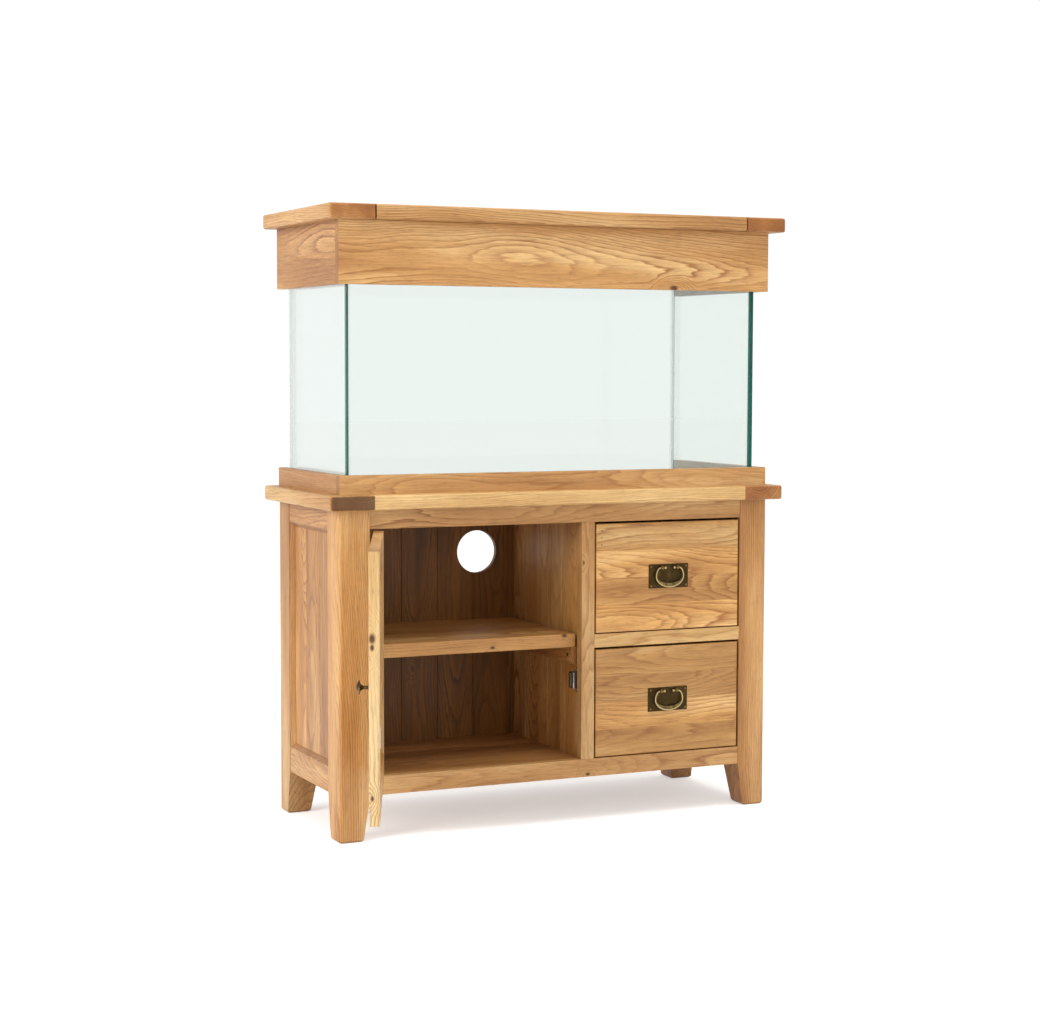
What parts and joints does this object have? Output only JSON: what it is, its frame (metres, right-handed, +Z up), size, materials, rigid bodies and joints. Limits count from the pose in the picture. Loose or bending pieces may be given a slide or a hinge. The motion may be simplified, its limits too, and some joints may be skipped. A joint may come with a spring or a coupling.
{
  "type": "aquarium on stand",
  "caption": "Frameless glass fish tank in a solid oak kerb under an oak lift-off hood with a flap, on an oak cabinet with a door, a shelf and drawers with swinging pulls",
  "frame": {"origin": "on the floor at the middle of the footprint of the whole piece with its door standing open", "axes": "+Z up, +X to the right along the front, -Y out of the front"},
  "size_m": [1.1943, 0.8939, 1.355],
  "materials": {
    "oak_satin": "satin clear lacquer over knotty oak, honey coloured",
    "oak_inside": "unlit inner oak boards with a thin matt lacquer",
    "tank_glass": "clear float glass with teal green ground edges",
    "silicone": "clear cured silicone bead",
    "foam": "thin dark closed cell foam mat",
    "antique_brass": "aged brass, dark in the hollows and rubbed bright on the edges",
    "hinge_steel": "plain brushed steel",
    "catch_plastic": "black moulded plastic with two bright steel poles"
  },
  "bodies": {
    "cabinet": {"back_boards": "oak_inside", "back_rails": "oak_inside", "cabinet_top_end_left": "oak_satin", "cabinet_top_end_right": "oak_satin", "cabinet_top_planks": "oak_satin", "centre_stile": "oak_satin", "divider_boards": "oak_inside", "drawer_rail": "oak_satin", "drawer_runners": "oak_inside", "floor_boards": "oak_inside", "front_bottom_rail": "oak_satin", "front_top_rail": "oak_satin", "glass_back": "tank_glass", "glass_bottom": "tank_glass", "glass_front": "tank_glass", "glass_left": "tank_glass", "glass_right": "tank_glass", "hinge_post_leaves": "hinge_steel", "magnet_catch": "catch_plastic", "post_back_left": "oak_satin", "post_back_right": "oak_satin", "post_front_left": "oak_satin", "post_front_right": "oak_satin", "shelf": "oak_satin", "shelf_bearers": "oak_inside", "side_boards_left": "oak_satin", "side_boards_right": "oak_satin", "side_panel_beads": "oak_satin", "side_rails_left": "oak_satin", "side_rails_right": "oak_satin", "silicone_seams": "silicone", "tank_mat": "foam", "tank_trim_front": "oak_satin", "tank_trim_sides": "oak_satin"},
    "door": {"door_boards": "oak_satin", "door_bottom_rail": "oak_satin", "door_free_stile": "oak_satin", "door_hinge_stile": "oak_satin", "door_knob": "antique_brass", "door_top_rail": "oak_satin", "hinge_door_leaves": "hinge_steel", "strike_plate": "hinge_steel"},
    "drawer_upper": {"drawer_upper_box": "oak_inside", "drawer_upper_front": "oak_satin", "drawer_upper_pull_plate": "antique_brass"},
    "drawer_lower": {"drawer_lower_box": "oak_inside", "drawer_lower_front": "oak_satin", "drawer_lower_pull_plate": "antique_brass"},
    "bail_upper": {"bail_upper": "antique_brass"},
    "bail_lower": {"bail_lower": "antique_brass"},
    "hood": {"hood_end_left": "oak_satin", "hood_end_right": "oak_satin", "hood_front": "oak_satin", "hood_inner_rails": "oak_satin", "hood_rear_plank": "oak_satin", "hood_side_left": "oak_satin", "hood_side_right": "oak_satin", "flap_hinge_rear_leaves": "hinge_steel"},
    "flap": {"flap_planks": "oak_satin", "flap_hinge_flap_leaves": "hinge_steel"}
  },
  "joints": [
    {"name": "door_hinge", "type": "hinge", "parent": "cabinet", "child": "door", "pos_m": [-0.40153, 0.02298, 0.4], "axis": [0, 0, 1], "range_deg": [-58, 112]},
    {"name": "drawer_upper_slide", "type": "slide", "parent": "cabinet", "child": "drawer_upper", "axis": [0, -1, 0], "range_m": [0, 0.28]},
    {"name": "drawer_lower_slide", "type": "slide", "parent": "cabinet", "child": "drawer_lower", "axis": [0, -1, 0], "range_m": [0, 0.28]},
    {"name": "bail_upper_swing", "type": "hinge", "parent": "drawer_upper", "child": "bail_upper", "pos_m": [0.31547, 0.02058, 0.56025], "axis": [-1, 0, 0], "range_deg": [0, 85]},
    {"name": "bail_lower_swing", "type": "hinge", "parent": "drawer_lower", "child": "bail_lower", "pos_m": [0.31547, 0.02058, 0.28025], "axis": [-1, 0, 0], "range_deg": [0, 85]},
    {"name": "hood_lift", "type": "slide", "parent": "cabinet", "child": "hood", "axis": [0, 0, 1], "range_m": [0, 0.12]},
    {"name": "flap_hinge", "type": "hinge", "parent": "hood", "child": "flap", "pos_m": [0.04897, 0.34718, 1.352], "axis": [-1, 0, 0], "range_deg": [0, 95]}
  ]
}
